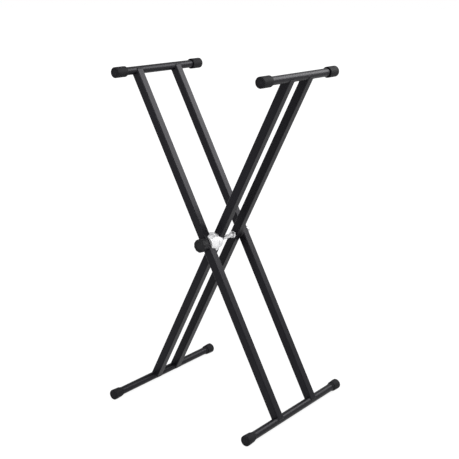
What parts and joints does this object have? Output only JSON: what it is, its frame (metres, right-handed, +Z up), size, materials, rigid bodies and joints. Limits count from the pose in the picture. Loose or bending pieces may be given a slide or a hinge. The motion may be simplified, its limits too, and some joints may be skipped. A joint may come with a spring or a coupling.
{
  "type": "double x keyboard stand",
  "caption": "Free-standing keyboard stand of two crossed square-tube frames on one clutch axle, with round capped top and foot bars.",
  "frame": {"origin": "on the floor, under the middle of the stand's bounding box", "axes": "+Z up, Y along the bars and the axle with the clutch knob on the -Y side, X across the spread of the legs; the outer frame's top bar is at -X"},
  "size_m": [0.527, 0.478, 0.9863],
  "materials": {
    "black_powder_coat": "fine-textured satin black powder coat on steel tube",
    "black_rubber": "matte moulded black rubber",
    "black_plastic": "moulded black plastic with a fine texture",
    "cast_zinc": "bright plated zinc die casting",
    "plated_steel": "bright zinc-plated steel",
    "brass": "machined brass",
    "black_nylon": "moulded black nylon"
  },
  "bodies": {
    "outer_frame": {"outer_front_tube": "black_powder_coat", "outer_front_sleeve": "plated_steel", "outer_rear_tube": "black_powder_coat", "outer_rear_sleeve": "plated_steel", "outer_top_bar": "black_powder_coat", "outer_top_bar_front_cap": "black_rubber", "outer_top_bar_rear_cap": "black_rubber", "outer_foot_bar": "black_powder_coat", "outer_foot_bar_front_cap": "black_rubber", "outer_foot_bar_rear_cap": "black_rubber", "outer_clutch_half": "cast_zinc", "axle": "plated_steel", "dome_nut": "plated_steel", "rear_washer": "plated_steel", "rear_spacer": "black_nylon", "rear_inner_nut": "plated_steel", "front_inner_nut": "plated_steel", "clutch_spring": "plated_steel"},
    "inner_frame": {"inner_front_tube": "black_powder_coat", "inner_front_sleeve": "plated_steel", "inner_rear_tube": "black_powder_coat", "inner_rear_sleeve": "plated_steel", "inner_top_bar": "black_powder_coat", "inner_top_bar_front_cap": "black_rubber", "inner_top_bar_rear_cap": "black_rubber", "inner_foot_bar": "black_powder_coat", "inner_foot_bar_front_cap": "black_rubber", "inner_foot_bar_rear_cap": "black_rubber", "inner_clutch_half": "cast_zinc"},
    "knob_thrust": {"knob_washer": "plated_steel"},
    "clutch_knob": {"knob": "black_plastic", "knob_insert": "brass"}
  },
  "joints": [
    {"name": "x_fold", "type": "hinge", "parent": "outer_frame", "child": "inner_frame", "pos_m": [0, 0.004, 0.49341], "axis": [0, 1, 0], "range_deg": [-50.5, 45]},
    {"name": "knob_travel", "type": "slide", "parent": "outer_frame", "child": "knob_thrust", "axis": [0, -1, 0], "range_m": [0, 0.0035]},
    {"name": "knob_turn", "type": "hinge", "parent": "knob_thrust", "child": "clutch_knob", "pos_m": [0, 0.004, 0.49341], "axis": [0, -1, 0], "range_deg": [0, 720]}
  ],
  "couplings": [
    {"joint": "knob_travel", "follows": "knob_turn", "m_per_rad": 0.00027824}
  ]
}
